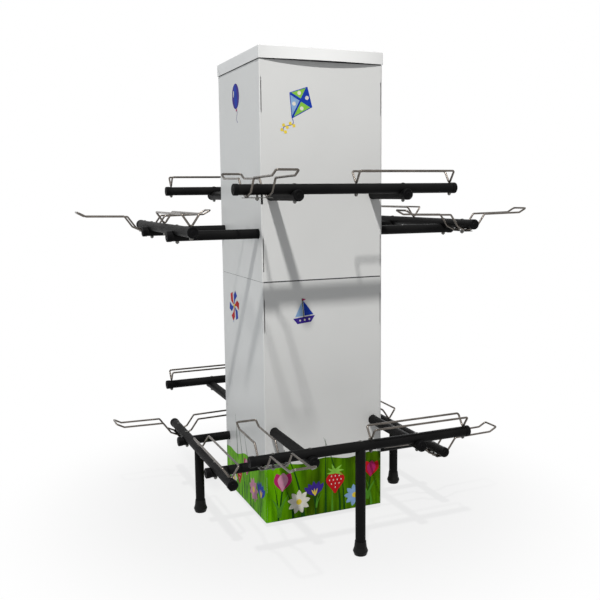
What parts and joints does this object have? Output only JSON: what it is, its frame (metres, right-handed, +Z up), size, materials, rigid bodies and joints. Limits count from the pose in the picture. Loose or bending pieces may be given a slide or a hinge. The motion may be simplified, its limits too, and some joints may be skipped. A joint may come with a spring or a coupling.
{
  "type": "bicycle display stand",
  "caption": "Square sheet-metal tower with tubular cross bars on all four sides, each holding a bicycle by a wire wheel trough and a winged stabiliser rest.",
  "frame": {"origin": "on the floor, under the middle of the tower", "axes": "+Z up; -Y out of the front face; +X to the right, seen from the front"},
  "size_m": [1.744, 1.82, 1.887],
  "materials": {
    "panel_paint": "pale grey satin powder coat",
    "cap_paint": "white satin powder coat",
    "frame_paint": "matt dark grey paint",
    "tube_paint": "satin black powder coat",
    "wire_zinc": "bright zinc plate",
    "zinc_hardware": "zinc plate",
    "black_plastic": "moulded, matt",
    "printed_film": "printed self-adhesive film",
    "foot_rubber": "moulded, satin"
  },
  "bodies": {
    "stand": {"arm_u_bolts": "frame_paint", "back_leg": "tube_paint", "back_leg_foot": "foot_rubber", "bar_bolts": "zinc_hardware", "base_glides": "black_plastic", "front_leg": "tube_paint", "front_leg_foot": "foot_rubber", "hex_nuts": "zinc_hardware", "left_leg": "tube_paint", "left_leg_foot": "foot_rubber", "lower_back_bar": "tube_paint", "lower_back_panel": "panel_paint", "lower_back_stabiliser_rest": "wire_zinc", "lower_back_wheel_trough": "wire_zinc", "lower_cross_arm_back": "tube_paint", "lower_cross_arm_front": "tube_paint", "lower_frame": "frame_paint", "lower_front_bar": "tube_paint", "lower_front_panel": "panel_paint", "lower_front_stabiliser_rest": "wire_zinc", "lower_front_wheel_trough": "wire_zinc", "lower_left_bar": "tube_paint", "lower_left_panel": "panel_paint", "lower_left_stabiliser_rest": "wire_zinc", "lower_left_wheel_trough": "wire_zinc", "lower_right_bar": "tube_paint", "lower_right_panel": "panel_paint", "lower_right_stabiliser_rest": "wire_zinc", "lower_right_wheel_trough": "wire_zinc", "lower_through_arm_left": "tube_paint", "lower_through_arm_right": "tube_paint", "post_spigots": "black_plastic", "rest_clamp_plates": "zinc_hardware", "right_leg": "tube_paint", "right_leg_foot": "foot_rubber", "tube_end_caps": "black_plastic", "upper_back_bar": "tube_paint", "upper_back_panel": "panel_paint", "upper_back_stabiliser_rest": "wire_zinc", "upper_back_wheel_trough": "wire_zinc", "upper_cross_arm_back": "tube_paint", "upper_cross_arm_front": "tube_paint", "upper_frame": "frame_paint", "upper_front_bar": "tube_paint", "upper_front_panel": "panel_paint", "upper_front_stabiliser_rest": "wire_zinc", "upper_front_wheel_trough": "wire_zinc", "upper_left_bar": "tube_paint", "upper_left_panel": "panel_paint", "upper_left_stabiliser_rest": "wire_zinc", "upper_left_wheel_trough": "wire_zinc", "upper_right_bar": "tube_paint", "upper_right_panel": "panel_paint", "upper_right_stabiliser_rest": "wire_zinc", "upper_right_wheel_trough": "wire_zinc", "upper_through_arm_left": "tube_paint", "upper_through_arm_right": "tube_paint"},
    "cap": {"top_cap": "cap_paint"}
  },
  "joints": [
    {"name": "cap_lift", "type": "slide", "parent": "stand", "child": "cap", "axis": [0, 0, 1], "range_m": [0, 0.1]}
  ]
}
